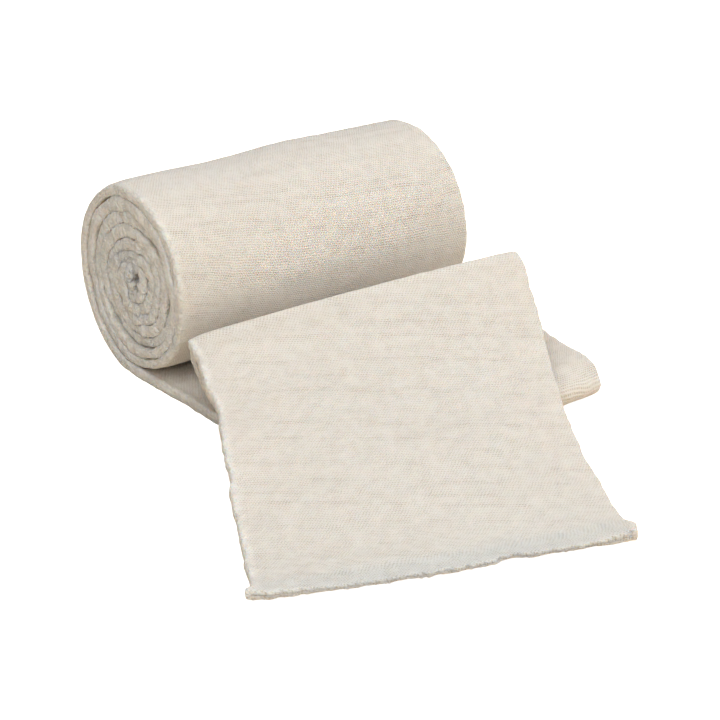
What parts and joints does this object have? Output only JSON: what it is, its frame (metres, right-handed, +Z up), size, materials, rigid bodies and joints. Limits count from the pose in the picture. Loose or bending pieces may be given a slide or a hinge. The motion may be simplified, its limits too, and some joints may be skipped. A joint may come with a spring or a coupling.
{
  "type": "tubular bandage roll",
  "caption": "Flat knitted tube of cream elastic bandage wound into a roll, with its loose end laid out in front over two folds.",
  "frame": {"origin": "on the surface it rests on, below the middle of the whole piece's box", "axes": "+Z up; +X along the roll's axis, towards the roll's hidden end; -Y towards the cut end of the loose cloth"},
  "size_m": [0.1457, 0.1913, 0.0609],
  "materials": {
    "knit": "soft matt cotton and elastic rib knit, undyed cream"
  },
  "bodies": {
    "root": {"bandage": "knit"}
  },
  "joints": []
}
